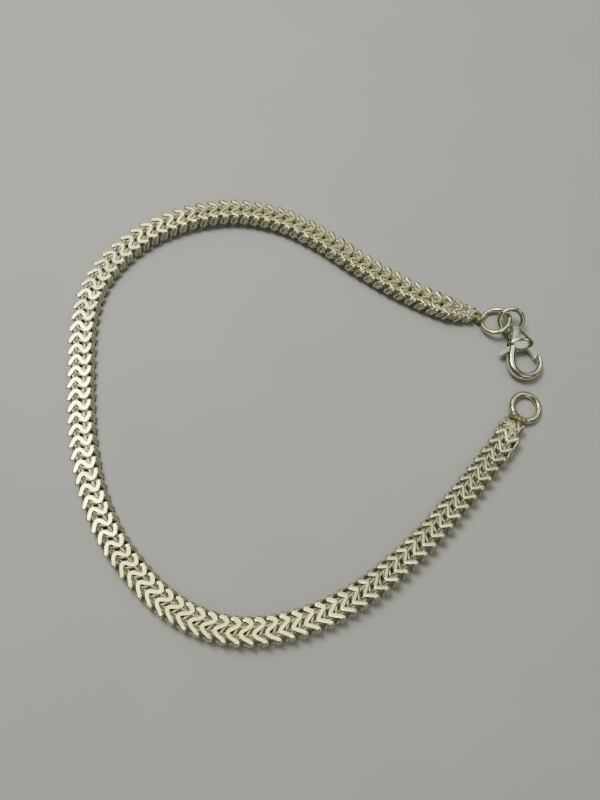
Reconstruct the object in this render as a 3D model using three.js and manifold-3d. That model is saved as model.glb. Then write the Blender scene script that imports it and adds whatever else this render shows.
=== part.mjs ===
// Flat chain bracelet with a lobster clasp, lying open and unfastened on a surface.
// Units are millimetres, +Z is up, and the surface is the plane z = 0.

import * as THREE from 'three';
import { mergeVertices } from 'three/addons/utils/BufferGeometryUtils.js';
import Module from 'manifold-3d';

const wasm = await Module();
wasm.setup();

const degrees = THREE.MathUtils.degToRad;
const UP = new THREE.Vector3(0, 0, 1);

// ---------------------------------------------------------------- driving dimensions

// Sideways shift that puts the middle of the laid-out bracelet on the origin.
const LAID_SHIFT = -0.18;

// The woven chain: over a hundred links, made here as one solid bar of their outer shape.
const CHAIN = { width: 3.7, thickness: 1.86, corner: 0.55, steps: 78 };

// The middle of the chain as it lies, from the clasp's end round to the free end.
const CHAIN_ROUTE = [
  [25.7, 13.8], [21.6, 15.05], [15.5, 17.9], [8.9, 22.0], [2.5, 26.5], [-3.8, 29.7],
  [-10.6, 31.0], [-17.4, 30.1], [-23.75, 27.45], [-28.45, 23.6], [-31.8, 18.4], [-32.96, 12.4],
  [-32.8, 6.3], [-32.3, -0.5], [-31.3, -7.0], [-29.5, -13.1], [-26.65, -18.8], [-23.3, -23.05],
  [-19.5, -26.7], [-14.3, -29.7], [-8.5, -31.0], [-2.7, -30.5], [3.0, -28.7], [8.2, -26.0],
  [13.0, -22.4], [17.6, -18.2], [21.9, -13.5], [26.0, -8.7], [28.8, -5.2], [30.3, -2.5],
];

// How far the chain's face leans towards the inside of the loop, at fractions of its length.
const CHAIN_LEAN = [
  { at: 0.00, lean: -10 },
  { at: 0.09, lean: -16 },
  { at: 0.20, lean: -15 },
  { at: 0.38, lean: 0 },
  { at: 0.56, lean: 0 },
  { at: 0.72, lean: 18 },
  { at: 0.92, lean: 18 },
  { at: 1.00, lean: 10 },
];

// The chain narrows over its last links, where they are drawn together and soldered.
const CHAIN_END_A = { length: 5.0, width: 0.68, thickness: 0.84 };
const CHAIN_END_B = { length: 3.0, width: 0.92, thickness: 0.95 };

// Closed end rings of round wire, each with the lump of solder that holds the last link.
const RING_A = {
  core: 2.02,
  wire: 0.36,
  centre: [28.81, 12.89, 1.22],
  tilt: [-15, -19, 0],
  solder: { centre: [26.36, 13.5, 0.92], size: [0.5, 0.86, 0.62], heading: -14 },
};
const RING_B = {
  core: 2.0,
  wire: 0.45,
  centre: [32.35, -0.27, 0.75],
  tilt: [-4, 6, 0],
  solder: { centre: [30.96, -1.94, 0.98], size: [0.55, 1.5, 0.76], heading: 61 },
};
const RING_SIDES = { around: 40, across: 10 };
const SOLDER_SIDES = { around: 16, along: 10 };

// The lobster clasp's own frame: its origin is the middle of the hook's opening, +Y runs
// towards the neck, and z = 0 is its middle plane.
const CLASP = { centre: [32.73, 6.4, 1.25], turn: 5 };
// The shoulder's middle line leans left on its way up to the neck.
const CLASP_BODY = { middleX: -0.33, middleY: 2.7, lean: -0.155, around: 28, along: 24 };
// Half-widths of the hollow shoulder and neck, from the rounded foot to the blunt end.
const CLASP_OUTLINE = [
  { half: 0.00, y: 1.62 },
  { half: 0.95, y: 1.78 },
  { half: 1.72, y: 2.22 },
  { half: 2.00, y: 2.80 },
  { half: 1.74, y: 3.40 },
  { half: 1.44, y: 4.00 },
  { half: 1.16, y: 4.60 },
  { half: 0.92, y: 5.10 },
  { half: 0.76, y: 5.50 },
  { half: 0.46, y: 5.78 },
  { half: 0.00, y: 5.86 },
];
// Its thickness as a share of its width, at heights up from the foot: flat below, round above.
const CLASP_FLATNESS = [
  { at: 2.2, share: 0.45 },
  { at: 3.6, share: 0.725 },
  { at: 5.2, share: 1.02 },
];
// The hook is an arc round the opening that thins towards its tip.
const HOOK = { middleX: -0.1, rootRadius: 1.98, tipRadius: 2.27, from: 180, to: 375 };
const HOOK_SIDES = { stops: 8, along: 30, across: 14 };
const HOOK_ROOT = [[-1.0, 3.3], [-1.6, 2.3], [-1.98, 1.1]];
const HOOK_SIZE = [
  { at: 0.00, wide: 1.40, tall: 1.66 },
  { at: 0.35, wide: 1.32, tall: 1.50 },
  { at: 0.65, wide: 1.04, tall: 1.34 },
  { at: 1.00, wide: 0.70, tall: 1.06 },
];

// The jump ring passes through the hole in the clasp's neck and through ring A.
const JUMP_RING = {
  core: 1.645,
  wire: 0.36,
  centre: [-1.29, 6.45, 0.68],
  tilt: [27.5, -13, 0],
  clearance: 0.12,
};

// The lever turns on the rivet in a slot through the middle of the clasp.
const PIVOT = { x: 0.15, y: 3.1 };
const RIVET = { radius: 0.30, length: 2.3, leverGap: 0.09, cheekGap: 0.05 };
const LEVER = { thickness: 0.84, hub: 0.8, bevel: 0.1 };
// Where the thumb piece and the gate leave the lever's round hub, in degrees.
const LEVER_HUB = { thumbFrom: 125, thumbTo: 218, gateFrom: 260, gateTo: -25 };
// The thumb piece's rounded end, from its upper edge round to its lower edge.
const THUMB_PIECE = {
  upper: [-3.42, 1.82],
  upperBend: [-3.7, 1.62],
  tip: [-3.58, 1.38],
  lowerBend: [-3.48, 1.2],
  lower: [-3.25, 1.32],
};
// The gate, from its inner side round its tip to its outer side.
const GATE_BEND = [0.95, 1.75];
const GATE_PIECE = [
  [1.3, 0.75], [1.32, 0.4], [1.58, 0.4], [1.66, 1.0], [1.98, 1.2], [1.98, 1.45], [1.45, 2.4],
];
const SLOT = { thickness: 1.1, hub: 0.98 };
// The slot opens to the left for the thumb piece and to the lower right for the gate. Each
// window is wide enough for the lever's whole swing.
const THUMB_WINDOW = [[0, 2.3], [0, 4.07], [-5, 3.45], [-5, 0.32], [-0.4, 2.45]];
const GATE_WINDOW = { from: 236, to: 342, reach: 3 };

// ---------------------------------------------------------------- materials

function silver(color, roughness) {
  return new THREE.MeshStandardMaterial({ color, roughness, metalness: 1 });
}

const WARM_SILVER = silver(0xdad8c6, 0.28);
const POLISHED_SILVER = silver(0xe0dfd2, 0.16);
const WHITE_SILVER = silver(0xdfe1de, 0.2);

// ---------------------------------------------------------------- helpers

// Reads a table of rows ordered by their 'at' column, easing from each row to the next.
function readTable(rows, at, column) {
  const next = rows.findIndex((row) => row.at >= at);
  if (next <= 0) {
    return rows[next < 0 ? rows.length - 1 : 0][column];
  }
  const low = rows[next - 1];
  const high = rows[next];
  const share = THREE.MathUtils.smoothstep(at, low.at, high.at);
  return low[column] + (high[column] - low[column]) * share;
}

function solidOf(geometry) {
  const bare = geometry.clone();
  bare.deleteAttribute('normal');
  bare.deleteAttribute('uv');
  const merged = mergeVertices(bare, 1e-4);
  const mesh = new wasm.Mesh({
    numProp: 3,
    vertProperties: new Float32Array(merged.attributes.position.array),
    triVerts: new Uint32Array(merged.index.array),
  });
  return new wasm.Manifold(mesh);
}

function geometryOf(solid) {
  const mesh = solid.getMesh();
  const geometry = new THREE.BufferGeometry();
  geometry.setAttribute('position', new THREE.BufferAttribute(mesh.vertProperties, 3));
  geometry.setIndex(new THREE.BufferAttribute(mesh.triVerts, 1));
  geometry.computeVertexNormals();
  return geometry;
}

function namedMesh(name, geometry, material) {
  const mesh = new THREE.Mesh(geometry, material);
  mesh.name = name;
  return mesh;
}

// A closed bar: a section carried along a path. placeAt gives, for a share of the length,
// the path's point, the section's sideways and upward directions, and its two scales.
function sweptBar(section, steps, curveSegments, placeAt) {
  const options = { depth: 1, steps, curveSegments, bevelEnabled: false };
  const bar = new THREE.ExtrudeGeometry(section, options);
  const position = bar.attributes.position;
  for (let i = 0; i < position.count; i += 1) {
    const place = placeAt(position.getZ(i));
    const point = place.origin.clone();
    point.addScaledVector(place.side, position.getX(i) * place.wide);
    point.addScaledVector(place.up, position.getY(i) * place.tall);
    position.setXYZ(i, point.x, point.y, point.z);
  }
  return bar;
}

function circlePoints(radius, count, middleX) {
  const points = [];
  for (let i = 0; i <= count; i += 1) {
    const angle = (i % count) * 2 * Math.PI / count;
    points.push(new THREE.Vector2(middleX + radius * Math.cos(angle), radius * Math.sin(angle)));
  }
  return points;
}

// A round-wire ring lying flat about the Z axis.
function wireRing(core, wire) {
  const profile = circlePoints(wire, RING_SIDES.across, core);
  const ring = new THREE.LatheGeometry(profile, RING_SIDES.around);
  ring.rotateX(Math.PI / 2);
  return ring;
}

function turned(tiltDegrees) {
  const [x, y, z] = tiltDegrees.map(degrees);
  return new THREE.Matrix4().makeRotationFromEuler(new THREE.Euler(x, y, z));
}

function ellipsoid(size, centre, heading) {
  const lump = new THREE.SphereGeometry(1, SOLDER_SIDES.around, SOLDER_SIDES.along);
  lump.rotateX(Math.PI / 2);
  lump.scale(...size);
  lump.rotateZ(degrees(heading));
  lump.translate(...centre);
  return lump;
}

// ---------------------------------------------------------------- chain

function roundedSection(width, thickness, corner) {
  const x = width / 2 - corner;
  const y = thickness / 2 - corner;
  const section = new THREE.Shape();
  section.absarc(x, y, corner, 0, Math.PI / 2);
  section.absarc(-x, y, corner, Math.PI / 2, Math.PI);
  section.absarc(-x, -y, corner, Math.PI, Math.PI * 3 / 2);
  section.absarc(x, -y, corner, Math.PI * 3 / 2, Math.PI * 2);
  return section;
}

// Scale of one side of the section near the chain's two ends.
function endScale(distance, length, side) {
  const fromA = THREE.MathUtils.smoothstep(distance, 0, CHAIN_END_A.length);
  const fromB = THREE.MathUtils.smoothstep(length - distance, 0, CHAIN_END_B.length);
  const scaleA = CHAIN_END_A[side] + (1 - CHAIN_END_A[side]) * fromA;
  const scaleB = CHAIN_END_B[side] + (1 - CHAIN_END_B[side]) * fromB;
  return scaleA * scaleB;
}

function buildChain() {
  const route = new THREE.CatmullRomCurve3(CHAIN_ROUTE.map(([x, y]) => new THREE.Vector3(x, y, 0)));
  const length = route.getLength();
  const section = roundedSection(CHAIN.width, CHAIN.thickness, CHAIN.corner);
  const corners = section.getPoints(2);

  const bar = sweptBar(section, CHAIN.steps, 2, (share) => {
    const along = route.getTangentAt(share);
    const inward = new THREE.Vector3().crossVectors(UP, along);
    const lean = degrees(readTable(CHAIN_LEAN, share, 'lean'));
    const wide = endScale(share * length, length, 'width');
    const tall = endScale(share * length, length, 'thickness');
    const side = inward.clone().multiplyScalar(Math.cos(lean)).addScaledVector(UP, -Math.sin(lean));
    const up = UP.clone().multiplyScalar(Math.cos(lean)).addScaledVector(inward, Math.sin(lean));
    // The section's lowest corner rests on the surface.
    const depths = corners.map((p) => p.x * wide * Math.sin(lean) - p.y * tall * Math.cos(lean));
    const origin = route.getPointAt(share).setZ(Math.max(...depths));
    return { origin, side, up, wide, tall };
  });
  return namedMesh('chain', bar, WARM_SILVER);
}

// ---------------------------------------------------------------- end rings

function buildEndRing(name, ring) {
  const wire = wireRing(ring.core, ring.wire);
  wire.applyMatrix4(turned(ring.tilt));
  wire.translate(...ring.centre);
  const { size, centre, heading } = ring.solder;
  const solder = ellipsoid(size, centre, heading);
  return namedMesh(name, geometryOf(solidOf(wire).add(solidOf(solder))), POLISHED_SILVER);
}

// ---------------------------------------------------------------- jump ring

function jumpRingWire(wire) {
  const ring = wireRing(JUMP_RING.core, wire);
  ring.applyMatrix4(turned(JUMP_RING.tilt));
  ring.translate(...JUMP_RING.centre);
  return ring;
}

function buildJumpRing() {
  return namedMesh('jump_ring', jumpRingWire(JUMP_RING.wire), POLISHED_SILVER);
}

// ---------------------------------------------------------------- clasp body

function claspShoulder() {
  const outline = CLASP_OUTLINE.map(({ half, y }) => new THREE.Vector2(half, y));
  const profile = new THREE.SplineCurve(outline).getPoints(CLASP_BODY.along);
  profile[0].x = 0;
  profile[profile.length - 1].x = 0;
  const shoulder = new THREE.LatheGeometry(profile, CLASP_BODY.around);
  const position = shoulder.attributes.position;
  for (let i = 0; i < position.count; i += 1) {
    const y = position.getY(i);
    const middle = CLASP_BODY.middleX + CLASP_BODY.lean * (y - CLASP_BODY.middleY);
    const flatness = readTable(CLASP_FLATNESS, y, 'share');
    position.setXYZ(i, position.getX(i) + middle, y, position.getZ(i) * flatness);
  }
  return shoulder;
}

function hookPath() {
  const points = HOOK_ROOT.map(([x, y]) => new THREE.Vector3(x, y, 0));
  for (let i = 0; i <= HOOK_SIDES.stops; i += 1) {
    const share = i / HOOK_SIDES.stops;
    const angle = degrees(HOOK.from + (HOOK.to - HOOK.from) * share);
    const radius = HOOK.rootRadius + (HOOK.tipRadius - HOOK.rootRadius) * share;
    points.push(new THREE.Vector3(HOOK.middleX + radius * Math.cos(angle), radius * Math.sin(angle), 0));
  }
  return new THREE.CatmullRomCurve3(points);
}

function claspHook() {
  const section = new THREE.Shape();
  section.absarc(0, 0, 0.5, 0, Math.PI * 2);
  const path = hookPath();
  const bar = sweptBar(section, HOOK_SIDES.along, HOOK_SIDES.across, (share) => {
    const side = new THREE.Vector3().crossVectors(UP, path.getTangentAt(share));
    const wide = readTable(HOOK_SIZE, share, 'wide');
    const tall = readTable(HOOK_SIZE, share, 'tall');
    return { origin: path.getPointAt(share), side, up: UP, wide, tall };
  });
  const tipSize = HOOK_SIZE[HOOK_SIZE.length - 1];
  const tip = path.getPointAt(1);
  const rounding = ellipsoid([tipSize.wide / 2, tipSize.wide / 2, tipSize.tall / 2], tip.toArray(), 0);
  return solidOf(bar).add(solidOf(rounding));
}

// A flat slab in the middle of the clasp's thickness.
function slotCut(outline) {
  const cut = new THREE.ExtrudeGeometry(outline, { depth: SLOT.thickness, bevelEnabled: false });
  cut.translate(0, 0, -SLOT.thickness / 2);
  return solidOf(cut);
}

function gateWindow() {
  const { from, to, reach } = GATE_WINDOW;
  const outline = new THREE.Shape();
  outline.moveTo(PIVOT.x, PIVOT.y);
  outline.absarc(PIVOT.x, PIVOT.y, reach, degrees(from), degrees(to));
  outline.lineTo(PIVOT.x, PIVOT.y);
  return outline;
}

function roundBar(radius, length, sides) {
  const bar = new THREE.CylinderGeometry(radius, radius, length, sides);
  bar.rotateX(Math.PI / 2);
  bar.translate(PIVOT.x, PIVOT.y, 0);
  return bar;
}

function buildClaspBody() {
  const hubCut = solidOf(roundBar(SLOT.hub, SLOT.thickness, 32));
  const thumbCut = slotCut(new THREE.Shape(THUMB_WINDOW.map(([x, y]) => new THREE.Vector2(x, y))));
  const gateCut = slotCut(gateWindow());
  const rivetHole = solidOf(roundBar(RIVET.radius + RIVET.cheekGap, 2 * RIVET.length, 24));
  const ringWay = solidOf(jumpRingWire(JUMP_RING.wire + JUMP_RING.clearance));

  let body = solidOf(claspShoulder()).subtract(hubCut).subtract(gateCut).add(claspHook());
  body = body.subtract(thumbCut).subtract(rivetHole).subtract(ringWay);
  return namedMesh('clasp_body', geometryOf(body), WHITE_SILVER);
}

// ---------------------------------------------------------------- lever and rivet

function onHub(angle) {
  const turn = degrees(angle);
  return [PIVOT.x + LEVER.hub * Math.cos(turn), PIVOT.y + LEVER.hub * Math.sin(turn)];
}

function buildLever() {
  const { thumbFrom, thumbTo, gateFrom, gateTo } = LEVER_HUB;
  const outline = new THREE.Shape();
  outline.moveTo(...onHub(thumbFrom));
  outline.lineTo(...THUMB_PIECE.upper);
  outline.quadraticCurveTo(...THUMB_PIECE.upperBend, ...THUMB_PIECE.tip);
  outline.quadraticCurveTo(...THUMB_PIECE.lowerBend, ...THUMB_PIECE.lower);
  outline.lineTo(...onHub(thumbTo));
  outline.absarc(PIVOT.x, PIVOT.y, LEVER.hub, degrees(thumbTo), degrees(gateFrom));
  outline.quadraticCurveTo(...GATE_BEND, ...GATE_PIECE[0]);
  GATE_PIECE.slice(1).forEach(([x, y]) => outline.lineTo(x, y));
  outline.lineTo(...onHub(gateTo));
  outline.absarc(PIVOT.x, PIVOT.y, LEVER.hub, degrees(gateTo), degrees(thumbFrom));

  const bore = new THREE.Path();
  bore.absarc(PIVOT.x, PIVOT.y, RIVET.radius + RIVET.leverGap, 0, Math.PI * 2, true);
  outline.holes.push(bore);

  const lever = new THREE.ExtrudeGeometry(outline, {
    depth: LEVER.thickness - 2 * LEVER.bevel,
    curveSegments: 10,
    bevelSize: LEVER.bevel,
    bevelThickness: LEVER.bevel,
    bevelOffset: -LEVER.bevel,
    bevelSegments: 1,
  });
  lever.translate(0, 0, LEVER.bevel - LEVER.thickness / 2);
  return namedMesh('clasp_lever', lever, WHITE_SILVER);
}

function buildRivet() {
  return namedMesh('clasp_rivet', roundBar(RIVET.radius, RIVET.length, 24), WHITE_SILVER);
}

// ---------------------------------------------------------------- assembly

const clasp = new THREE.Group();
clasp.position.set(...CLASP.centre);
clasp.rotation.z = degrees(CLASP.turn);
clasp.add(buildClaspBody());
clasp.add(buildLever());
clasp.add(buildRivet());
clasp.add(buildJumpRing());

const bracelet = new THREE.Group();
bracelet.position.x = LAID_SHIFT;
bracelet.add(buildChain());
bracelet.add(buildEndRing('end_ring_clasp', RING_A));
bracelet.add(buildEndRing('end_ring_free', RING_B));
bracelet.add(clasp);

export default bracelet;
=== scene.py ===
import math
import random

import bpy
import numpy as np
from mathutils import Matrix, Vector


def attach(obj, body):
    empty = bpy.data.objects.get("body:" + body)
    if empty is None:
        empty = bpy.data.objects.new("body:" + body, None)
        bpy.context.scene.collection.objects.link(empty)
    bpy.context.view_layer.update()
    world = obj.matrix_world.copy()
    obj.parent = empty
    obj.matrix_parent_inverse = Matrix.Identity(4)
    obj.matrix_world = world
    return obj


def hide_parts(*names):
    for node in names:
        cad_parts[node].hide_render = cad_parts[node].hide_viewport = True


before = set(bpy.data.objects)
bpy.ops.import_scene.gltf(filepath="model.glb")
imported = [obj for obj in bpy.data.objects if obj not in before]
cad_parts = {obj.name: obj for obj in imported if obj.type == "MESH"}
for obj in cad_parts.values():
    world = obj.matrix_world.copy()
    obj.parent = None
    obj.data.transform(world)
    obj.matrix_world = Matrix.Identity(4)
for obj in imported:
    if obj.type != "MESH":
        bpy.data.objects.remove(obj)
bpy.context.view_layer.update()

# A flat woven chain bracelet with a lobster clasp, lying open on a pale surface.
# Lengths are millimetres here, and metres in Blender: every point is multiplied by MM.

MM = 0.001
random.seed(7)

# ------------------------------------------------------------------ the chain as it lies

# The middle of the chain, from the clasp's end round to the free end, as in the solids.
ROUTE = [
    (25.7, 13.8), (21.6, 15.05), (15.5, 17.9), (8.9, 22.0), (2.5, 26.5), (-3.8, 29.7),
    (-10.6, 31.0), (-17.4, 30.1), (-23.75, 27.45), (-28.45, 23.6), (-31.8, 18.4), (-32.96, 12.4),
    (-32.8, 6.3), (-32.3, -0.5), (-31.3, -7.0), (-29.5, -13.1), (-26.65, -18.8), (-23.3, -23.05),
    (-19.5, -26.7), (-14.3, -29.7), (-8.5, -31.0), (-2.7, -30.5), (3.0, -28.7), (8.2, -26.0),
    (13.0, -22.4), (17.6, -18.2), (21.9, -13.5), (26.0, -8.7), (28.8, -5.2), (30.3, -2.5),
]
# Sideways shift that puts the middle of the laid-out bracelet on the origin.
LAID_SHIFT = -0.18
SHIFT = np.array([LAID_SHIFT, 0, 0])
WIDTH, THICK, CORNER = 3.7, 1.86, 0.55
# How many degrees the chain's face leans towards the inside of the loop, at fractions of its
# length.
LEAN = [(0.0, -10), (0.09, -16), (0.20, -15), (0.38, 0),
        (0.56, 0), (0.72, 18), (0.92, 18), (1.0, 10)]
# The chain narrows over its last links: the shares of its width and height that are left.
END_A = dict(length=5.0, wide=0.68, tall=0.84)
END_B = dict(length=3.0, wide=0.92, tall=0.95)
PITCH = 1.72
# The chain's heading is taken between two points this far before and behind.
HEADING_REACH = 0.6
# Worn flat underneath, the chain's wires stop this far above the surface.
REST_GAP = 0.01


def smooth(x, lo, hi):
    """0 below lo and 1 above hi, with an easy rise between."""
    t = min(max((x - lo) / (hi - lo), 0.0), 1.0)
    return t * t * (3 - 2 * t)


def table(rows, at):
    """Reads a list of (position, value) rows, easing from one row to the next."""
    if at <= rows[0][0]:
        return rows[0][1]
    for (a, va), (b, vb) in zip(rows, rows[1:]):
        if at <= b:
            return va + (vb - va) * smooth(at, a, b)
    return rows[-1][1]


def centripetal(points, per_span, closed=False):
    """A smooth curve through the points, as an array with per_span steps between each two."""
    p = np.array(points, float)
    n = len(p)
    if closed:
        p = np.vstack([p[-1], p, p[0], p[1]])
        spans = n
    else:
        p = np.vstack([2 * p[0] - p[1], p, 2 * p[-1] - p[-2]])
        spans = n - 1
    out = []
    for i in range(spans):
        a, b, c, d = p[i:i + 4]
        t0, t1, t2 = (max(np.linalg.norm(q), 1e-9) ** 0.5 for q in (b - a, c - b, d - c))
        m1 = ((b - a) / t0 - (c - a) / (t0 + t1) + (c - b) / t1) * t1
        m2 = ((c - b) / t1 - (d - b) / (t1 + t2) + (d - c) / t2) * t1
        t = np.linspace(0, 1, per_span, endpoint=False)[:, None]
        out.append(b + m1 * t + (3 * (c - b) - 2 * m1 - m2) * t ** 2
                   + (2 * (b - c) + m1 + m2) * t ** 3)
    if not closed:
        out.append(p[-2][None])
    return np.vstack(out)


def evenly(curve, count, closed=False):
    """The same curve as count points an equal distance apart."""
    c = np.vstack([curve, curve[:1]]) if closed else curve
    s = np.r_[0, np.cumsum(np.linalg.norm(np.diff(c, axis=0), axis=1))]
    at = np.linspace(0, s[-1], count, endpoint=not closed)
    return np.stack([np.interp(at, s, c[:, k]) for k in range(c.shape[1])], axis=1)


ROUTE_FINE = centripetal(ROUTE, 60)
ROUTE_S = np.r_[0, np.cumsum(np.linalg.norm(np.diff(ROUTE_FINE, axis=0), axis=1))]
LENGTH = float(ROUTE_S[-1])
# The corners of the chain's section: the lowest of them rests on the surface.
CORNERS = [(sx * (WIDTH / 2 - CORNER) + CORNER * math.cos(math.radians(a)),
            sy * (THICK / 2 - CORNER) + CORNER * math.sin(math.radians(a)))
           for sx, sy, first in ((1, 1, 0), (-1, 1, 90), (-1, -1, 180), (1, -1, 270))
           for a in (first, first + 45, first + 90)]


def end_scale(s, key):
    """The share of the chain's width or height that is left at a distance along it."""
    a = END_A[key] + (1 - END_A[key]) * smooth(s, 0, END_A["length"])
    b = END_B[key] + (1 - END_B[key]) * smooth(LENGTH - s, 0, END_B["length"])
    return a * b


def route_point(s):
    return np.array([np.interp(s, ROUTE_S, ROUTE_FINE[:, k]) for k in (0, 1)])


def chain_place(s):
    """Where the chain is at a distance along it.

    Gives its origin, its inward, forward and up directions, and end_scale for width and height."""
    p = route_point(s)
    before, after = route_point(s - HEADING_REACH), route_point(s + HEADING_REACH)
    along = (after - before) / np.linalg.norm(after - before)
    inward = np.array([-along[1], along[0], 0.0])
    lean = math.radians(table(LEAN, s / LENGTH))
    side = inward * math.cos(lean) - np.array([0, 0, math.sin(lean)])
    up = np.array([0, 0, math.cos(lean)]) + inward * math.sin(lean)
    wide, tall = end_scale(s, "wide"), end_scale(s, "tall")
    height = max(x * wide * math.sin(lean) - y * tall * math.cos(lean) for x, y in CORNERS)
    origin = np.array([p[0] + LAID_SHIFT, p[1], height])
    return origin, side, np.array([along[0], along[1], 0.0]), up, wide, tall


# ------------------------------------------------------------------ meshes

# The attribute that says how bright the silver is at a point.
SHARE = "face_share"


def add_piece(name, solid, material, node, body="bracelet", sharp=None, share=None):
    """A smooth piece of the object, from verts and faces in millimetres.

    node is the part of the solids it stands for, and body is what it moves with. Edges
    sharper than sharp degrees show. share is how bright its silver is at each point."""
    verts, faces = solid
    mesh = bpy.data.meshes.new(name)
    mesh.from_pydata([tuple(v) for v in np.asarray(verts) * MM], [], [tuple(f) for f in faces])
    mesh.polygons.foreach_set("use_smooth", [True] * len(mesh.polygons))
    if sharp:
        mesh.set_sharp_from_angle(angle=math.radians(sharp))
    if share is not None:
        mesh.attributes.new(SHARE, "FLOAT", "POINT").data.foreach_set("value", share)
    obj = bpy.data.objects.new(name, mesh)
    bpy.context.scene.collection.objects.link(obj)
    mesh.materials.append(material)
    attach(obj, body)
    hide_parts(node)


def tube(path, radius, sides, outward):
    """Verts and faces of round wire along a closed path.

    outward turns the section: its first point faces that way."""
    n = len(path)
    tangent = np.roll(path, -1, axis=0) - np.roll(path, 1, axis=0)
    tangent /= np.linalg.norm(tangent, axis=1)[:, None]
    up = outward - (outward * tangent).sum(1)[:, None] * tangent
    up /= np.linalg.norm(up, axis=1)[:, None]
    across = np.cross(up, tangent)
    r = np.broadcast_to(np.asarray(radius, float), (n,))[:, None, None]
    a = np.linspace(0, 2 * np.pi, sides, endpoint=False)
    section = (np.cos(a)[None, :, None] * up[:, None, :]
               + np.sin(a)[None, :, None] * across[:, None, :])
    verts = path[:, None, :] + r * section
    faces = []
    for i in range(n):
        j = (i + 1) % n
        for k in range(sides):
            m = (k + 1) % sides
            faces.append((i * sides + k, i * sides + m, j * sides + m, j * sides + k))
    return verts.reshape(-1, 3), faces


# ------------------------------------------------------------------ materials

def new_material(name):
    mat = bpy.data.materials.new(name)
    mat.use_nodes = True
    return mat, mat.node_tree, mat.node_tree.nodes["Principled BSDF"]


def noise(tree, scale, detail):
    """Noise that stays where it is on the object."""
    coord = tree.nodes.new("ShaderNodeTexCoord")
    texture = tree.nodes.new("ShaderNodeTexNoise")
    texture.inputs["Scale"].default_value = scale
    texture.inputs["Detail"].default_value = detail
    tree.links.new(coord.outputs["Object"], texture.inputs["Vector"])
    return texture.outputs["Fac"]


def map_range(tree, value, limits, kind="LINEAR"):
    """A value on another scale. limits gives those ends of the two scales that aren't 0 and 1."""
    node = tree.nodes.new("ShaderNodeMapRange")
    node.interpolation_type = kind
    for name, limit in limits.items():
        node.inputs[name].default_value = limit
    tree.links.new(value, node.inputs["Value"])
    return node.outputs["Result"]


def two_tones(tree, value, dark, light, dark_at=0.0, light_at=1.0):
    """A colour that goes from dark to light as a value rises."""
    ramp = tree.nodes.new("ShaderNodeValToRGB")
    low, high = ramp.color_ramp.elements
    low.position, low.color = dark_at, (*dark, 1)
    high.position, high.color = light_at, (*light, 1)
    tree.links.new(value, ramp.inputs["Fac"])
    return ramp.outputs["Color"]


def mixed(tree, factor, first, second, blend="MIX"):
    """Two colours mixed. Each is an output of a node, or red, green and blue."""
    mix = tree.nodes.new("ShaderNodeMix")
    mix.data_type = "RGBA"
    mix.blend_type = blend
    tree.links.new(factor, mix.inputs["Factor"])
    # A mix node has its two colours at inputs 6 and 7, and its colour at output 2.
    for number, colour in ((6, first), (7, second)):
        if isinstance(colour, tuple):
            mix.inputs[number].default_value = (*colour, 1)
        else:
            tree.links.new(colour, mix.inputs[number])
    return mix.outputs[2]


def bumped(tree, height, strength, distance):
    node = tree.nodes.new("ShaderNodeBump")
    node.inputs["Strength"].default_value = strength
    node.inputs["Distance"].default_value = distance
    tree.links.new(height, node.inputs["Height"])
    return node


# Silver is painted dim where its share is below the first of these, and bright above the second.
DIM_BELOW, BRIGHT_ABOVE = 0.45, 0.97
# The scale of the patches of tone, as a share of the scratches' scale, and the values of their
# noise that give the dark and the light tone.
TONE_SCALE, TONE_DARK_AT, TONE_LIGHT_AT = 0.35, 0.35, 0.65
# Between the scratches the roughness goes from the first to the second of these times its usual
# value. They are this deep, in metres.
SMOOTHEST, ROUGHEST, SCRATCH_DEPTH = 0.7, 1.4, 0.00002


def silver(name, light, dark, rough, grain, bump, metal=1.0, dim_tone=None, dim_metal=1.0,
           dim_rough=0.0, glint=None):
    """Polished silver with faint tone changes, fine scratches and a little unevenness.

    grain is the scale of the scratches, and bump how strong they are. The dim tone, with its share
    of metal and how much rougher it is, is taken where the face_share attribute is low: on the
    chain it is painted shade, at the links' side bends and away from the loop's bright left, and on
    the clasp it darkens the left of the neck. glint is the scale and the depth, in metres, of the
    dents that make it glitter."""
    mat, tree, bsdf = new_material(name)
    bsdf.inputs["Metallic"].default_value = metal
    tone = two_tones(tree, noise(tree, grain * TONE_SCALE, detail=3.0), dark, light,
                     TONE_DARK_AT, TONE_LIGHT_AT)
    scratches = noise(tree, grain, detail=5.0)
    roughness = map_range(tree, scratches,
                          {"To Min": rough * SMOOTHEST, "To Max": rough * ROUGHEST})
    if dim_tone:
        share = tree.nodes.new("ShaderNodeAttribute")
        share.attribute_name = SHARE
        bright = map_range(tree, share.outputs["Fac"],
                           {"From Min": DIM_BELOW, "From Max": BRIGHT_ABOVE}, "SMOOTHSTEP")
        tree.links.new(map_range(tree, bright, {"To Min": dim_metal}), bsdf.inputs["Metallic"])
        tone = mixed(tree, bright, dim_tone, tone)
        both = tree.nodes.new("ShaderNodeMath")
        both.operation = "ADD"
        tree.links.new(roughness, both.inputs[0])
        tree.links.new(map_range(tree, bright, {"To Min": dim_rough, "To Max": 0.0}),
                       both.inputs[1])
        roughness = both.outputs["Value"]
    tree.links.new(tone, bsdf.inputs["Base Color"])
    tree.links.new(roughness, bsdf.inputs["Roughness"])
    relief = bumped(tree, scratches, bump, SCRATCH_DEPTH)
    if glint:
        scale, depth = glint
        dents = bumped(tree, noise(tree, scale, detail=2.0), 1.0, depth)
        tree.links.new(relief.outputs["Normal"], dents.inputs["Normal"])
        relief = dents
    tree.links.new(relief.outputs["Normal"], bsdf.inputs["Normal"])
    return mat


# The links' silver: their side bends are painted in the dim tone, painted shade at the chain's
# sides and in its recesses, and their faces are painted brightest along the loop's left.
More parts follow.
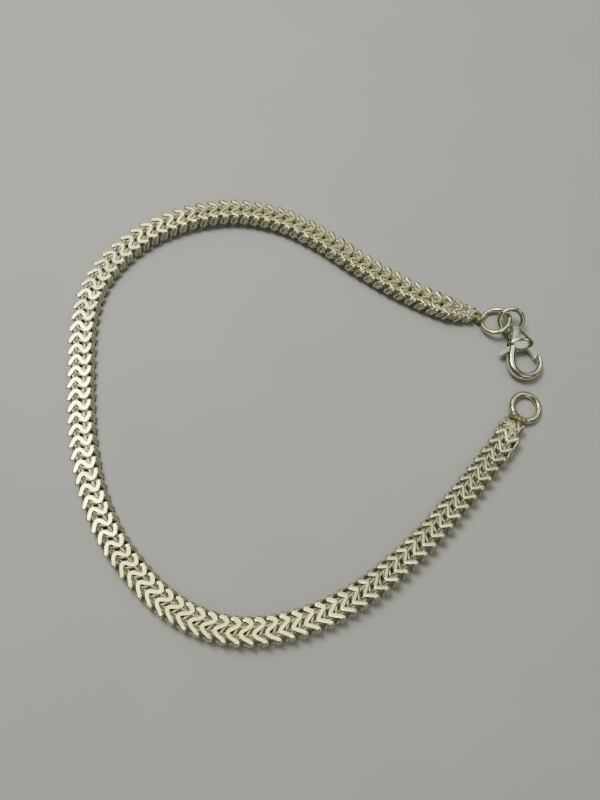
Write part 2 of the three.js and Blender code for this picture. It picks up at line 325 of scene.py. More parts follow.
CUT = silver("link_silver", light=(0.92, 0.91, 0.59), dark=(0.85, 0.84, 0.52), rough=0.14,
             grain=2500, bump=0.25, dim_tone=(0.45, 0.46, 0.335), dim_metal=0.75, dim_rough=0.06,
             glint=(8000, 0.000012))
# The inner wires are painted bright along the loop's left, where the glare falls, and take the dim
# tone elsewhere, most on the lower right: painted light and shade.
DEEP = silver("inner_silver", light=(0.76, 0.76, 0.67), dark=(0.58, 0.58, 0.50), rough=0.30,
              grain=4500, bump=0.5, dim_tone=(0.36, 0.365, 0.27), dim_metal=0.8,
              glint=(5500, 0.00002))
# The side bends' silver is a darker copy of the links': painted shade on the chain's side walls.
SHADED_SIDE = silver("shaded_side_silver", light=(0.54, 0.54, 0.42), dark=(0.40, 0.40, 0.31), rough=0.28,
              grain=2500, bump=0.3, metal=0.85, glint=(6000, 0.000012))
RING = silver("ring_silver", light=(0.63, 0.645, 0.50), dark=(0.53, 0.545, 0.41), rough=0.09,
              grain=1500, bump=0.12)
SOLDERED = silver("solder_silver", light=(0.31, 0.30, 0.17), dark=(0.24, 0.235, 0.13),
                  rough=0.26, grain=1500, bump=0.3, metal=0.65)
# The clasp's silver, with a darker, greener tone painted on the left of its neck.
WHITE = silver("clasp_silver", light=(0.70, 0.715, 0.62), dark=(0.63, 0.65, 0.55), rough=0.13,
               grain=1500, bump=0.15, dim_tone=(0.27, 0.345, 0.31), dim_metal=0.8,
               dim_rough=0.10)
# The lever is stamped from sheet and only satin.
SATIN = silver("lever_silver", light=(0.76, 0.77, 0.67), dark=(0.66, 0.67, 0.57), rough=0.20,
               grain=1500, bump=0.2, metal=0.68)


def floor_material():
    mat, tree, bsdf = new_material("pale_surface")
    tone = two_tones(tree, noise(tree, 60.0, detail=4.0),
                     dark=(0.345, 0.345, 0.351), light=(0.382, 0.382, 0.390))
    tree.links.new(tone, bsdf.inputs["Base Color"])
    bsdf.inputs["Roughness"].default_value = 0.7
    bsdf.inputs["Specular IOR Level"].default_value = 0.3
    return mat


# ------------------------------------------------------------------ links of the chain

# One link, seen from above: a flat-cut strand in an S from its inner tip to its outer tip, as
# (inward, forward). A strand like it, turned half round about the chain's length, lies underneath,
# and slanting bends at the two sides join them into one closed loop.
STRAND = [
    (1.47, -0.62), (1.33, -0.22), (1.16, 0.12), (0.97, 0.36), (0.75, 0.46),
    (0.53, 0.38), (0.32, 0.16), (0.08, -0.16), (-0.12, -0.40), (-0.34, -0.54),
    (-0.58, -0.54), (-0.82, -0.38), (-1.06, -0.08), (-1.28, 0.30), (-1.47, 0.66),
]
# Towards the free end the links are bent more sharply.
SHARP_STRAND = [
    (1.47, -0.58), (1.30, -0.32), (1.10, -0.04), (0.90, 0.24), (0.72, 0.47),
    (0.58, 0.46), (0.34, 0.19), (0.08, -0.08), (-0.16, -0.32), (-0.38, -0.52),
    (-0.52, -0.52), (-0.76, -0.24), (-1.02, 0.08), (-1.26, 0.38), (-1.47, 0.64),
]
# Half-widths of a link at its strands' tips and at its side bends.
TIP_REACH, SIDE_REACH = 1.47, 1.76
# Heights above the chain's middle: of a strand's own middle, and of the flat cut across it.
STRAND_HEIGHT, CUT_HEIGHT = 0.78, 0.92
# The lower strand is sheared this far along the chain for each millimetre across it.
UNDER_SHEAR = 0.42
# Points of a side bend: shares of the way forward, of the way out, and of the strand's height.
SIDE_BEND = ((0.12, 0.86, 0.77), (0.34, 1.0, 0.28), (0.66, 1.0, -0.28), (0.88, 0.86, -0.77))
# The wire's radius in the side bends, and on top and below.
WIRE_THIN, WIRE_THICK = 0.22, 0.275
# From this far out, and over this much more, the wire's section turns from facing up to facing
# sideways.
SIDEWAYS_FROM, SIDEWAYS_OVER = 1.3, 0.4


def link_path(strand, count):
    """The middle line of a link's wire."""
    top = [(u, v, STRAND_HEIGHT) for u, v in strand]
    under = [(-u, v + UNDER_SHEAR * u, -STRAND_HEIGHT) for u, v in strand]

    def side_bend(a, b, sign):
        return [(sign * (TIP_REACH + (SIDE_REACH - TIP_REACH) * out),
                 a[1] + (b[1] - a[1]) * t, w * a[2]) for t, out, w in SIDE_BEND]
    points = top + side_bend(top[-1], under[0], -1) + under + side_bend(under[-1], top[0], 1)
    return evenly(centripetal(points, 12, closed=True), count, closed=True)


def link_verts(strand, steps=96, sides=14):
    """A whole link, uncut, whose wire goes from thin at the bends to thick on top and below."""
    path = link_path(strand, steps)
    sideways = np.clip((np.abs(path[:, 0]) - SIDEWAYS_FROM) / SIDEWAYS_OVER, 0, 1)
    sideways = sideways * np.sign(path[:, 0])
    out = np.stack([sideways, np.zeros(len(path)), path[:, 2] / STRAND_HEIGHT], axis=1)
    out /= np.linalg.norm(out, axis=1)[:, None]
    level = np.clip(np.abs(path[:, 2]) / STRAND_HEIGHT, 0, 1)
    radius = WIRE_THIN + (WIRE_THICK - WIRE_THIN) * level ** 2
    return tube(path, radius, sides, out)


def oval_verts(centre, first_axis, second_axis, radius, steps=30, sides=8):
    """A closed oval of round wire: the two half-axes are vectors as (inward, forward, up)."""
    t = np.linspace(0, 2 * np.pi, steps, endpoint=False)[:, None]
    a, b = np.array(first_axis, float), np.array(second_axis, float)
    path = np.array(centre, float) + np.cos(t) * a + np.sin(t) * b
    return tube(path, radius, sides, path - np.array(centre, float))


def joined(templates):
    """Several pieces as one."""
    verts, faces, base = [], [], 0
    for v, f in templates:
        verts.append(v)
        faces.extend(tuple(base + k for k in q) for q in f)
        base += len(v)
    return np.vstack(verts), faces


def turned_half(template):
    """The same piece on the other side of the chain: half a turn about the chain's length."""
    verts, faces = template
    return verts * np.array([-1, 1, -1]), faces


COUNT = round(LENGTH / PITCH)
STEP = LENGTH / COUNT
FIRST = STEP * 0.5
# Nothing is placed nearer the chain's two ends than this, or higher than this from its middle.
END_MARGIN, MOST_HEIGHT = 0.3, 0.99
# The cut links begin and end at these distances along the chain.
CUT_FROM, CUT_TO = 1.6, LENGTH - 1.3
# For each unit of looseness a link may be turned in the chain's plane, nod forward and roll to
# a side by these slopes.
YAW_SPREAD, PITCH_SPREAD, ROLL_SPREAD = 2, 2, 1.4
# Links at the ends are looser by up to this many times. It fades over these lengths of chain,
# from the last of these shares of them on.
END_SLACK, SLACK_LENGTHS, SLACK_FADES = 3.5, (10.0, 8.0), 0.2
# These tables are read at fractions of the chain's length.
# How far each link is pulled out along the chain.
PULL = [(0.0, 1.0), (0.58, 1.0), (0.68, 1.16), (0.76, 1.14), (0.86, 1.0)]
# How far each link's tips are bent forward, for the square of their distance from its middle
# less 0.5.
BOW = [(0.58, 0.0), (0.67, 0.13), (0.78, 0.13), (0.87, 0.0)]
# How far each link is turned in the chain's plane.
YAW = [(0.0, 0.1), (0.2, 0.04), (0.35, 0.0), (0.56, 0.02), (0.7, 0.11), (1.0, 0.12)]
# How high each link stands before it is cut.
SINK = [(0.0, 0.90), (0.22, 0.925), (0.36, 1.0), (0.70, 1.0), (0.84, 0.935), (1.0, 0.91)]
# The silver is painted brightest along the loop's left, where the glare falls, and duller
# towards both ends: painted light, on the cut faces and on the inner wires.
FACE_PAINTED_LIGHT = [(0.0, 0.84), (0.24, 0.92), (0.36, 1.0), (0.66, 1.0),
               (0.76, 0.92), (0.83, 0.46), (0.97, 0.44), (1.0, 0.8)]
INNER_PAINTED_LIGHT = [(0.0, 0.64), (0.30, 0.62), (0.41, 1.0), (0.53, 1.0),
                (0.63, 0.12), (0.80, 0.12), (1.0, 0.35)]


def laid_on_chain(place, u, v, w):
    """Points from their inward, forward and upward distances. Worn flat underneath, they stay just
    above the surface.
    """
    origin, side, along, up = place
    points = origin + u[:, None] * side + v[:, None] * along + w[:, None] * up
    points[:, 2] = np.maximum(points[:, 2], REST_GAP)
    return points


def place_links(name, template, first, count, loose, material, brightness, sharp=None, sink=None):
    """Copies of a piece along the chain, each a little astray by loose.

    How bright the silver is painted, at fractions of the chain's length, is given as a table:
    painted light. sink marks the pieces that are cut flat: it lowers the ones that are cut less
    deeply, and paints their silver darker towards the middle of their height: painted shade."""
    verts, faces = template
    pieces, share = [], []
    for i in range(first, first + count):
        s = FIRST + i * STEP
        if s < END_MARGIN or s > LENGTH - END_MARGIN or sink and not CUT_FROM < s < CUT_TO:
            continue
        *place, wide, tall = chain_place(s)
        from_end = min(s / SLACK_LENGTHS[0], (LENGTH - s) / SLACK_LENGTHS[1])
        slack = 1 + END_SLACK * (1 - smooth(from_end, SLACK_FADES, 1.0))
        yaw = (table(YAW, s / LENGTH)
               + random.uniform(-YAW_SPREAD, YAW_SPREAD) * loose * slack)
        pitch = random.uniform(-PITCH_SPREAD, PITCH_SPREAD) * loose * slack
        roll = random.uniform(-ROLL_SPREAD, ROLL_SPREAD) * loose * slack
        u = verts[:, 0] * wide
        v = (verts[:, 1] * table(PULL, s / LENGTH) + u * yaw
             + table(BOW, s / LENGTH) * (u * u - 0.5))
        level = verts[:, 2]
        if sink:
            level = np.clip(level * table(sink, s / LENGTH), -CUT_HEIGHT, CUT_HEIGHT)
        w = level * tall - verts[:, 1] * pitch - verts[:, 0] * roll
        w = np.clip(w, -MOST_HEIGHT * tall, MOST_HEIGHT * tall)
        pieces.append((laid_on_chain(place, u, v, w), faces))
        # Painted shade: the cut links' silver is darker the nearer a point lies to the middle of
        # the link's height, at its side bends.
        bright = np.abs(level) / CUT_HEIGHT if sink else np.ones(len(level))
        share.append(bright * table(brightness, s / LENGTH))
    add_piece(name, joined(pieces), material, node="chain", sharp=sharp,
              share=np.concatenate(share))


round_link = link_verts(STRAND)
sharp_link = link_verts(SHARP_STRAND)
# Inside, rows of ovals run along the chain and across it, and hold the links.
core_oval = oval_verts((0.58, -0.36, 0), (0.16, 0.95, 0), (0, 0, 0.42), radius=0.27)
outer_oval = oval_verts((1.00, 0.45, 0), (-0.12, 0.80, 0), (0, 0, 0.42), radius=0.26)
cross_oval = oval_verts((0.0, 0.30, 0), (0.85, 0.34, 0), (0, 0.08, 0.46), radius=0.25)
middle_oval = oval_verts((0.0, -0.56, 0), (0.80, 0.30, 0), (0, 0.08, 0.36), radius=0.34)
inner_parts = joined([core_oval, turned_half(core_oval), outer_oval, turned_half(outer_oval),
                      cross_oval, middle_oval])
# At each side an oval stands between neighbouring tips, slanting as the bends do.
side_oval = oval_verts((1.58, 0.16, -0.05), (0, 0.34, -0.60), (0.02, 0.24, 0.13), radius=0.25,
                       steps=28, sides=10)
side_parts = joined([side_oval, turned_half(side_oval)])

# The chain is made in this many lengths, each with its own pieces.
GROUPS = 4
for g in range(GROUPS):
    first = COUNT * g // GROUPS
    count = COUNT * (g + 1) // GROUPS - first
    cut_link = sharp_link if g == GROUPS - 1 else round_link
    place_links(f"chain_links_{g + 1}", cut_link, first, count, loose=0.015, material=CUT,
                brightness=FACE_PAINTED_LIGHT, sharp=40, sink=SINK)
    place_links(f"chain_ovals_{g + 1}", inner_parts, first, count, loose=0.03, material=DEEP,
                brightness=INNER_PAINTED_LIGHT)
    place_links(f"chain_sides_{g + 1}", side_parts, first, count, loose=0.02, material=SHADED_SIDE,
                brightness=INNER_PAINTED_LIGHT)


# The thin wires wound up at the ends crowd towards the chain's tip, more so with a higher power.
TWIST_CROWDING = 1.6
# What each wire's turn, half-length, half-height and slope are drawn between.
TWIST_TURN, TWIST_LONG = (-1.2, 1.2), (0.55, 0.85)
TWIST_SHORT, TWIST_SLOPE = (0.22, 0.34), (-0.15, 0.15)
# How high its middle lies, where there are no cut links and in among them.
TWIST_BARE, TWIST_AMONG = (0.3, 0.5), (0.2, 0.38)
# How far the wires' middle lines reach to the sides, how far out and up any of their points may
# be, and the wires' radius.
TWIST_REACH, TWIST_SIDE_LIMIT, TWIST_HEIGHT_LIMIT, TWIST_WIRE = 1.72, 1.8, 0.9, 0.15


def end_twists(name, tip_s, far_s, count, brightness):
    """Thin wires drawn together across an end of the chain, where the last links are wound up."""
    pieces = []
    for i in range(count):
        s = tip_s + (far_s - tip_s) * ((i + random.random()) / count) ** TWIST_CROWDING
        *place, wide, tall = chain_place(s)
        turn = random.uniform(*TWIST_TURN)
        long, short = random.uniform(*TWIST_LONG), random.uniform(*TWIST_SHORT)
        reach = TWIST_REACH - long * abs(math.sin(turn))
        heights = TWIST_AMONG if CUT_FROM < s < CUT_TO else TWIST_BARE
        centre = np.array([random.uniform(-1, 1) * reach, 0, random.uniform(*heights)])
        slope = random.uniform(*TWIST_SLOPE)
        axis = np.array([math.sin(turn), math.cos(turn), slope]) * long
        verts, faces = oval_verts(centre, axis, (0, 0.12, short), TWIST_WIRE, steps=24)
        u = np.clip(verts[:, 0], -TWIST_SIDE_LIMIT, TWIST_SIDE_LIMIT) * wide
        w = np.clip(verts[:, 2], -TWIST_HEIGHT_LIMIT, TWIST_HEIGHT_LIMIT) * tall
        pieces.append((laid_on_chain(place, u, verts[:, 1], w), faces))
    verts, faces = joined(pieces)
    add_piece(name, (verts, faces), DEEP, node="chain",
              share=np.full(len(verts), brightness))


end_twists("chain_twist_clasp_end", tip_s=0.45, far_s=7.0, count=52, brightness=0.77)
end_twists("chain_twist_free_end", tip_s=LENGTH - 0.5, far_s=LENGTH - 4.6, count=44, brightness=0.73)

# ------------------------------------------------------------------ fittings

# The fittings are worked out with 1 unit to the millimetre, joined and cut, and then melted
# together as a casting is by a fine remesh, before they are scaled into place.

def temporary(verts, faces):
    """An object that is only worked with."""
    mesh = bpy.data.meshes.new("temporary")
    mesh.from_pydata([tuple(v) for v in np.asarray(verts)], [], [tuple(f) for f in faces])
    obj = bpy.data.objects.new("temporary", mesh)
    bpy.context.scene.collection.objects.link(obj)
    return obj


def finished(obj):
    """An object's verts and faces with its modifiers applied. The object itself is removed."""
    depsgraph = bpy.context.evaluated_depsgraph_get()
    mesh = bpy.data.meshes.new_from_object(obj.evaluated_get(depsgraph))
    verts = np.empty(len(mesh.vertices) * 3)
    mesh.vertices.foreach_get("co", verts)
    faces = [tuple(p.vertices) for p in mesh.polygons]
    bpy.data.meshes.remove(mesh)
    bpy.data.objects.remove(obj)
    return verts.reshape(-1, 3), faces


def cast(name, steps, voxel, melt, material, node, body="bracelet", brightness=None):
    """One casting: the first solid, then (operation, solid) steps, melted together.

    voxel is the fineness of the remesh, and melt how many times it is softened. The brightness
    given for each point is how bright its silver is, from 0 (darkest) to 1."""
    base = temporary(*steps[0])
    others = []
    for operation, solid in steps[1:]:
        other = temporary(*solid)
        modifier = base.modifiers.new(operation, "BOOLEAN")
        modifier.operation = operation
        modifier.solver = "EXACT"
        modifier.object = other
        others.append(other)
    remesh = base.modifiers.new("melt", "REMESH")
    remesh.mode = "VOXEL"
    remesh.voxel_size = voxel
    soften = base.modifiers.new("soften", "SMOOTH")
    soften.factor = 0.5
    soften.iterations = melt
    verts, faces = finished(base)
    for other in others:
        bpy.data.objects.remove(other)
    share = brightness(verts) if brightness else np.ones(len(verts))
    add_piece(name, (verts, faces), material, node, body, share=share)


def turned(points, degrees_xyz):
    """Points turned about X, Y and Z as three.js turns them, Z first."""
    x, y, z = (math.radians(d) for d in degrees_xyz)
    m = Matrix.Rotation(x, 3, "X") @ Matrix.Rotation(y, 3, "Y") @ Matrix.Rotation(z, 3, "Z")
    return np.asarray(points) @ np.array(m).T


def laid(solid):
    """A fitting moved as the laid-out bracelet is."""
    verts, faces = solid
    return verts + SHIFT, faces


def wire_ring(core, wire, tilt, centre, around=144, across=28):
    """A closed ring of round wire: core is its middle line's radius, and wire the wire's own."""
    t = np.linspace(0, 2 * np.pi, around, endpoint=False)
    path = np.stack([np.cos(t), np.sin(t), 0 * t], axis=1)
    verts, faces = tube(core * path, wire, across, path)
    return turned(verts, tilt) + np.array(centre), faces


def lofted(rows):
    """A closed solid through rings of points. A ring of one point closes an end."""
    verts, faces, start = [], [], []
    for ring in rows:
        start.append(len(verts))
        verts.extend(ring)
    for i in range(len(rows) - 1):
        n, m = len(rows[i]), len(rows[i + 1])
        for k in range(max(n, m)):
            a, b = start[i] + k % n, start[i] + (k + 1) % n
            c, d = start[i + 1] + (k + 1) % m, start[i + 1] + k % m
            faces.append((a, c, d) if n == 1 else (a, b, d) if m == 1 else (a, b, c, d))
    return np.array(verts), faces


def lump(size, centre, heading, around=40, rows=24):
    """An egg-shaped solid with these three half-sizes."""
    rings = [[(0, 0, -1)]]
    for i in range(1, rows):
        tilt = -math.pi / 2 + math.pi * i / rows
        rings.append([(math.cos(tilt) * math.cos(a), math.cos(tilt) * math.sin(a), math.sin(tilt))
                      for a in np.linspace(0, 2 * math.pi, around, endpoint=False)])
    rings.append([(0, 0, 1)])
    verts, faces = lofted(rings)
    return turned(verts * np.array(size), (0, 0, heading)) + np.array(centre), faces


def slab(outline, low, high):
    """A flat plate with this outline, (x, y) pairs going anticlockwise."""
    n = len(outline)
    verts = [(x, y, low) for x, y in outline] + [(x, y, high) for x, y in outline]
    faces = [tuple(reversed(range(n))), tuple(range(n, 2 * n))]
    faces += [(k, (k + 1) % n, n + (k + 1) % n, n + k) for k in range(n)]
    return np.array(verts, float), faces


def arc(centre, radius, start, end, count):
    """Points on a circle between two angles in degrees."""
    return [(centre[0] + radius * math.cos(math.radians(t)),
             centre[1] + radius * math.sin(math.radians(t)))
            for t in np.linspace(start, end, count)]


def bend(a, b, c, count=10):
    """Points of the curve from a to c that b pulls on, after a."""
    t = np.linspace(0, 1, count + 1)[1:, None]
    a, b, c = np.array(a), np.array(b), np.array(c)
    return [tuple(q) for q in (1 - t) ** 2 * a + 2 * t * (1 - t) * b + t ** 2 * c]


# End rings: round wire, with the solder that holds the last link. Tilts are in degrees.
RING_A = dict(core=2.02, wire=0.36, tilt=(-15, -19, 0), centre=(28.81, 12.89, 1.22))
RING_B = dict(core=2.0, wire=0.45, tilt=(-4, 6, 0), centre=(32.35, -0.27, 0.75))
# Each blob of solder has three half-sizes, a middle and a heading.
SOLDER_A = [
    ((0.36, 0.36, 0.36), (26.32, 14.05, 1.20), 0),
    ((0.46, 0.34, 0.34), (26.45, 13.12, 1.16), 20),
    ((0.50, 0.84, 0.52), (26.36, 13.5, 0.84), -14),
    ((0.36, 0.50, 0.36), (26.78, 13.0, 0.80), 0),
]
SOLDER_B = [
    ((0.62, 1.42, 0.66), (30.98, -1.96, 0.92), 61),
    ((0.62, 0.72, 0.64), (30.52, -1.38, 1.00), 30),
    ((0.52, 0.66, 0.60), (31.74, -2.30, 1.00), 80),
    ((0.40, 0.46, 0.42), (31.20, -2.16, 1.22), 0),
]


def end_ring(node, ring, solder):
    """A ring and, in its duller tone, the solder on it, which reaches a little into the wire."""
    add_piece(node + "_wire", laid(wire_ring(**ring)), RING, node=node)
    blobs = [laid(lump(*blob)) for blob in solder]
    steps = blobs[:1] + [("UNION", blob) for blob in blobs[1:]]
    cast(node + "_solder", steps, voxel=0.04, melt=5, material=SOLDERED, node=node)


end_ring("end_ring_clasp", RING_A, SOLDER_A)
end_ring("end_ring_free", RING_B, SOLDER_B)

# The clasp's own frame: its origin is the middle of the hook's opening, and +Y runs to the neck.
CLASP_CENTRE, CLASP_TURN = (32.73, 6.4, 1.25), 5
# The jump ring, in that frame.
JUMP = dict(core=1.645, wire=0.36, tilt=(27.5, -13, 0), centre=(-1.29, 6.45, 0.68))
# The hole in the neck is this much wider all round than the jump ring's wire.
JUMP_CLEARANCE = 0.12
# The shoulder's middle line, which leans, and the shoulder's half-widths with their Y, from the
# opening to the neck's tip.
SHOULDER_MIDDLE, SHOULDER_MIDDLE_Y, SHOULDER_LEAN = -0.33, 2.7, -0.155
SHOULDER = [(0.0, 1.62), (0.95, 1.78), (1.72, 2.22), (2.00, 2.80), (1.74, 3.40), (1.44, 4.00),
            (1.16, 4.60), (0.92, 5.10), (0.76, 5.50), (0.46, 5.78), (0.0, 5.86)]
# At each Y, its height over its width, and how square its section is (2 is an ellipse).
FLATNESS = [(2.2, 0.45), (3.6, 0.725), (5.2, 1.02)]
SQUARENESS = [(1.7, 2.0), (2.5, 2.9), (3.5, 2.7), (5.0, 2.1)]
# The hook's middle line starts inside the shoulder, and then goes round the opening between
# these angles in degrees, while its radius grows.
HOOK_ROOT = [(-1.0, 3.3), (-1.6, 2.3), (-1.98, 1.1)]
HOOK_MIDDLE_X, HOOK_ROOT_RADIUS, HOOK_TIP_RADIUS = -0.1, 1.98, 2.27
HOOK_FROM, HOOK_TO = 180, 375
# The hook's width and height at fractions of its length.
HOOK_WIDE = [(0.0, 1.40), (0.35, 1.32), (0.65, 1.04), (1.0, 0.70)]
HOOK_TALL = [(0.0, 1.66), (0.35, 1.50), (0.65, 1.34), (1.0, 1.06)]
PIVOT = (0.15, 3.1)
# The rivet's radius and half its length. Its ends are polished flush and can't be seen, so only
# what shows in the slot counts.
RIVET_RADIUS, RIVET_HALF = 0.30, 0.75
# The gaps round the rivet, in the lever and in the body.
LEVER_GAP, CHEEK_GAP = 0.09, 0.05
# The thickness and the hub's radius, of the lever and of the slot that it turns in.
LEVER_THICK, LEVER_HUB = 0.84, 0.8
SLOT_THICK, SLOT_HUB = 1.1, 0.98
# The window in the shoulder's side that the thumb piece comes out of.
THUMB_WINDOW = [(0, 2.3), (-0.4, 2.45), (-5, 0.32), (-5, 3.45), (0, 4.07)]
# The neck is painted darker between these two Y, by this share of its brightness on the left. From
# left to right, between these distances from the middle line, this share of the darkening fades.
NECK_DIM_FROM, NECK_DIM_FULL, NECK_DIM = 2.9, 3.9, 0.5
NECK_DIM_LEFT, NECK_DIM_RIGHT, NECK_DIM_FADES = -0.6, 0.7, 0.75


def in_clasp(solid):
    verts, faces = solid
    return turned(verts, (0, 0, CLASP_TURN)) + np.array(CLASP_CENTRE) + SHIFT, faces


def neck_brightness(verts):
    """The clasp's neck is darker on its left."""
    local = turned(verts - np.array(CLASP_CENTRE) - SHIFT, (0, 0, -CLASP_TURN))
    along = local[:, 1]
    across = local[:, 0] - SHOULDER_MIDDLE - SHOULDER_LEAN * (along - SHOULDER_MIDDLE_Y)
    ease = [smooth(y, NECK_DIM_FROM, NECK_DIM_FULL)
            * (1 - NECK_DIM_FADES * smooth(x, NECK_DIM_LEFT, NECK_DIM_RIGHT))
            for x, y in zip(across, along)]
    return 1 - NECK_DIM * np.array(ease)


def clasp_shoulder(around=96):
    """The solid part that the lever turns in, and the neck."""
    fine = evenly(centripetal(SHOULDER, 12), 90)
    rings = []
    for half, y in fine:
        middle = SHOULDER_MIDDLE + SHOULDER_LEAN * (y - SHOULDER_MIDDLE_Y)
        if half < 0.01:
            rings.append([(middle, y, 0)])
            continue
        tall = half * table(FLATNESS, y)
        power = 2 / table(SQUARENESS, y)
        rings.append([(middle + half * math.copysign(abs(math.cos(a)) ** power, math.cos(a)), y,
                       tall * math.copysign(abs(math.sin(a)) ** power, math.sin(a)))
                      for a in np.linspace(0, -2 * math.pi, around, endpoint=False)])
    return lofted(rings)


def clasp_hook(steps=130, around=40):
    """The hook, from its root inside the shoulder to its tip."""
    points = list(HOOK_ROOT)
    for share in np.linspace(0, 1, 9):
        angle = math.radians(HOOK_FROM + (HOOK_TO - HOOK_FROM) * share)
        radius = HOOK_ROOT_RADIUS + (HOOK_TIP_RADIUS - HOOK_ROOT_RADIUS) * share
        points.append((HOOK_MIDDLE_X + radius * math.cos(angle), radius * math.sin(angle)))
    path = evenly(centripetal(points, 24), steps)
    tangent = np.gradient(path, axis=0)
    tangent /= np.linalg.norm(tangent, axis=1)[:, None]
    turn = np.linspace(0, 2 * math.pi, around, endpoint=False)

    def section(p, way, wide, tall):
        side = np.array([-way[1], way[0]])
        return [(p[0] + side[0] * wide / 2 * math.cos(a), p[1] + side[1] * wide / 2 * math.cos(a),
                 tall / 2 * math.sin(a)) for a in turn]
    rings = [[(path[0][0], path[0][1], 0)]]
    for i in range(steps):
        share = i / (steps - 1)
        rings.append(section(path[i], tangent[i], table(HOOK_WIDE, share), table(HOOK_TALL, share)))
    # The tip is rounded off like the end of an egg.
    wide, tall = HOOK_WIDE[-1][1], HOOK_TALL[-1][1]
    for lift in np.linspace(0, math.pi / 2, 10)[1:-1]:
        end = path[-1] + tangent[-1] * wide / 2 * math.sin(lift)
        rings.append(section(end, tangent[-1], wide * math.cos(lift), tall * math.cos(lift)))
    end = path[-1] + tangent[-1] * wide / 2
    rings.append([(end[0], end[1], 0)])
    return lofted(rings)


def clasp_body():
    """The shoulder and hook, less the room for the lever, the rivet and the jump ring."""
    slot = SLOT_THICK / 2
    hub = slab(arc(PIVOT, SLOT_HUB, 0, 354, 60), -slot, slot)
    gate = slab([PIVOT] + arc(PIVOT, 3, 236, 342, 24), -slot, slot)
    thumb = slab(list(reversed(THUMB_WINDOW)), -slot, slot)
    seat = RIVET_HALF + CHEEK_GAP
    rivet = slab(arc(PIVOT, RIVET_RADIUS + CHEEK_GAP, 0, 350, 36), -seat, seat)
    way = wire_ring(**{**JUMP, "wire": JUMP["wire"] + JUMP_CLEARANCE})
    steps = [in_clasp(clasp_shoulder())]
    for operation, solid in (("DIFFERENCE", hub), ("DIFFERENCE", gate), ("UNION", clasp_hook()),
                             ("DIFFERENCE", thumb), ("DIFFERENCE", rivet), ("DIFFERENCE", way)):
        steps.append((operation, in_clasp(solid)))
    cast("clasp_casting", steps, voxel=0.045, melt=5, material=WHITE, node="clasp_body",
         brightness=neck_brightness)


def clasp_lever():
    """The gate with its thumb piece, stamped from sheet."""
    thumb = ([(-3.42, 1.82)] + bend((-3.42, 1.82), (-3.7, 1.62), (-3.58, 1.38))
             + bend((-3.58, 1.38), (-3.48, 1.2), (-3.25, 1.32)))
    gate = bend((0.011, 2.312), (0.95, 1.75), (1.3, 0.75)) + [
        (1.32, 0.4), (1.58, 0.4), (1.66, 1.0), (1.98, 1.2), (1.98, 1.45), (1.45, 2.4)]
    outline = (thumb + arc(PIVOT, LEVER_HUB, 218, 260, 8)
               + gate + arc(PIVOT, LEVER_HUB, -25, 125, 24))
    plate = slab(outline, -LEVER_THICK / 2, LEVER_THICK / 2)
    bore = slab(arc(PIVOT, RIVET_RADIUS + LEVER_GAP, 0, 350, 36), -3, 3)
    steps = [in_clasp(plate), ("DIFFERENCE", in_clasp(bore))]
    cast("clasp_lever_plate", steps, voxel=0.035, melt=4, material=SATIN, node="clasp_lever",
         body="lever")


def clasp_rivet():
    """A pin with its ends a little rounded."""
    radius, half = RIVET_RADIUS, RIVET_HALF
    profile = [(0.0, -half), (0.2, -half + 0.01), (0.27, -half + 0.04), (radius, -half + 0.1),
               (radius, half - 0.1), (0.27, half - 0.04), (0.2, half - 0.01), (0.0, half)]
    rings = [[(PIVOT[0], PIVOT[1], z)] if r == 0 else
             [(x, y, z) for x, y in arc(PIVOT, r, 0, 352.5, 48)] for r, z in profile]
    verts, faces = in_clasp(lofted(rings))
    add_piece("clasp_rivet_pin", (verts, faces), WHITE, node="clasp_rivet",
              sharp=50, share=np.ones(len(verts)))


clasp_body()
clasp_lever()
clasp_rivet()
add_piece("jump_ring_wire", in_clasp(wire_ring(**JUMP)), RING, node="jump_ring")

# ------------------------------------------------------------------ stage

bpy.ops.mesh.primitive_plane_add(size=6.0, location=(0, 0, 0))
floor = bpy.context.object
floor.name = "floor"
floor.data.materials.append(floor_material())

# The photo's camera: a 27 mm lens on a 36 mm high frame, tilted from straight down.
CAMERA_PLACE, CAMERA_TILT = (-0.5 + LAID_SHIFT, -18.9, 86.2), 13
camera_data = bpy.data.cameras.new("camera")
camera = bpy.data.objects.new("camera", camera_data)
bpy.context.scene.collection.objects.link(camera)
camera_data.sensor_fit = "VERTICAL"
camera_data.sensor_height = 36
camera_data.lens = 27
camera_data.clip_start = 0.001
camera_data.clip_end = 10
camera.location = [c * MM for c in CAMERA_PLACE]
camera.rotation_euler = (math.radians(CAMERA_TILT), 0, 0)
bpy.context.scene.camera = camera


def area_light(name, toward, distance, size, power, color):
    """A round light in a direction from the origin, in metres and watts, that isn't seen itself."""
    data = bpy.data.lights.new(name, "AREA")
    data.shape = "DISK"
    data.size = size
    data.energy = power
    data.color = color
    light = bpy.data.objects.new(name, data)
    bpy.context.scene.collection.objects.link(light)
    direction = Vector(toward).normalized()
    light.location = direction * distance
    light.rotation_euler = direction.to_track_quat("Z", "Y").to_euler()
    light.visible_camera = False
    return light


# The key light gives the soft shadows. Polished metal sees the glare and the room of the world
# below instead.
key = area_light("key", toward=(-0.26, 0.37, 0.892), distance=0.2355, size=0.085, power=0.475,
                 color=(1.0, 0.985, 0.96))
key.visible_glossy = False
glare = area_light("glare", toward=(-0.43, 0.17, 0.887), distance=3.0, size=1.11, power=42.7,
                   color=(1.0, 0.97, 0.68))
glare.visible_diffuse = False

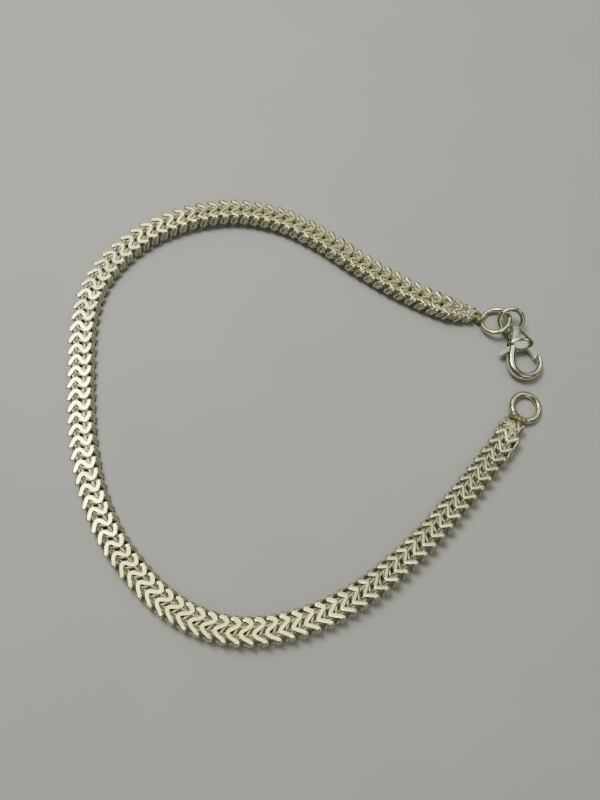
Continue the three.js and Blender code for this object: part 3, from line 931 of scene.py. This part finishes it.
# The room from the floor's level (0) to straight up (1).
ROOM = [(0.0, (0.055, 0.053, 0.038)), (0.30, (0.065, 0.063, 0.043)),
        (0.62, (0.12, 0.118, 0.083)), (1.0, (0.17, 0.17, 0.13))]
# Bright patches of the room: direction, half-widths in degrees of the full and the fading part,
# colour.
PATCHES = [
    ((-0.35, 0.60, 0.72), 8, 18, (2.3, 2.2, 1.55)),
    ((-0.10, 0.08, 0.99), 5, 13, (2.3, 2.2, 1.5)),
    ((0.0, 0.34, 0.94), 8, 18, (1.75, 1.74, 1.25)),
    ((0.12, 0.78, 0.61), 14, 30, (0.70, 0.70, 0.52)),
    ((0.58, 0.20, 0.79), 3, 11, (2.6, 2.55, 2.3)),
    ((0.30, -0.62, 0.72), 10, 24, (0.80, 0.80, 0.68)),
]
# What is seen past the floor.
BACKDROP = (0.335, 0.33, 0.305)

world = bpy.data.worlds.new("studio")
world.use_nodes = True
bpy.context.scene.world = world
room = world.node_tree
background = room.nodes["Background"]
background.inputs["Strength"].default_value = 1.0
coord = room.nodes.new("ShaderNodeTexCoord")
split = room.nodes.new("ShaderNodeSeparateXYZ")
room.links.new(coord.outputs["Generated"], split.inputs["Vector"])
rise = room.nodes.new("ShaderNodeValToRGB")
stops = rise.color_ramp.elements
for at, colour in ROOM:
    stop = stops[0] if at == 0 else stops[-1] if at == 1 else stops.new(at)
    stop.color = (*colour, 1)
room.links.new(split.outputs["Z"], rise.inputs["Fac"])
light = rise.outputs["Color"]
for direction, full, fade, colour in PATCHES:
    near = room.nodes.new("ShaderNodeVectorMath")
    near.operation = "DOT_PRODUCT"
    near.inputs[1].default_value = Vector(direction).normalized()
    room.links.new(coord.outputs["Generated"], near.inputs[0])
    share = map_range(room, near.outputs["Value"],
                      {"From Min": math.cos(math.radians(fade)),
                       "From Max": math.cos(math.radians(full))}, "SMOOTHSTEP")
    light = mixed(room, share, light, colour, "ADD")
# The silver sees that room. Whoever looks past the floor sees a plain pale backdrop instead.
seen = room.nodes.new("ShaderNodeLightPath")
light = mixed(room, seen.outputs["Is Camera Ray"], light, BACKDROP)
room.links.new(light, background.inputs["Color"])
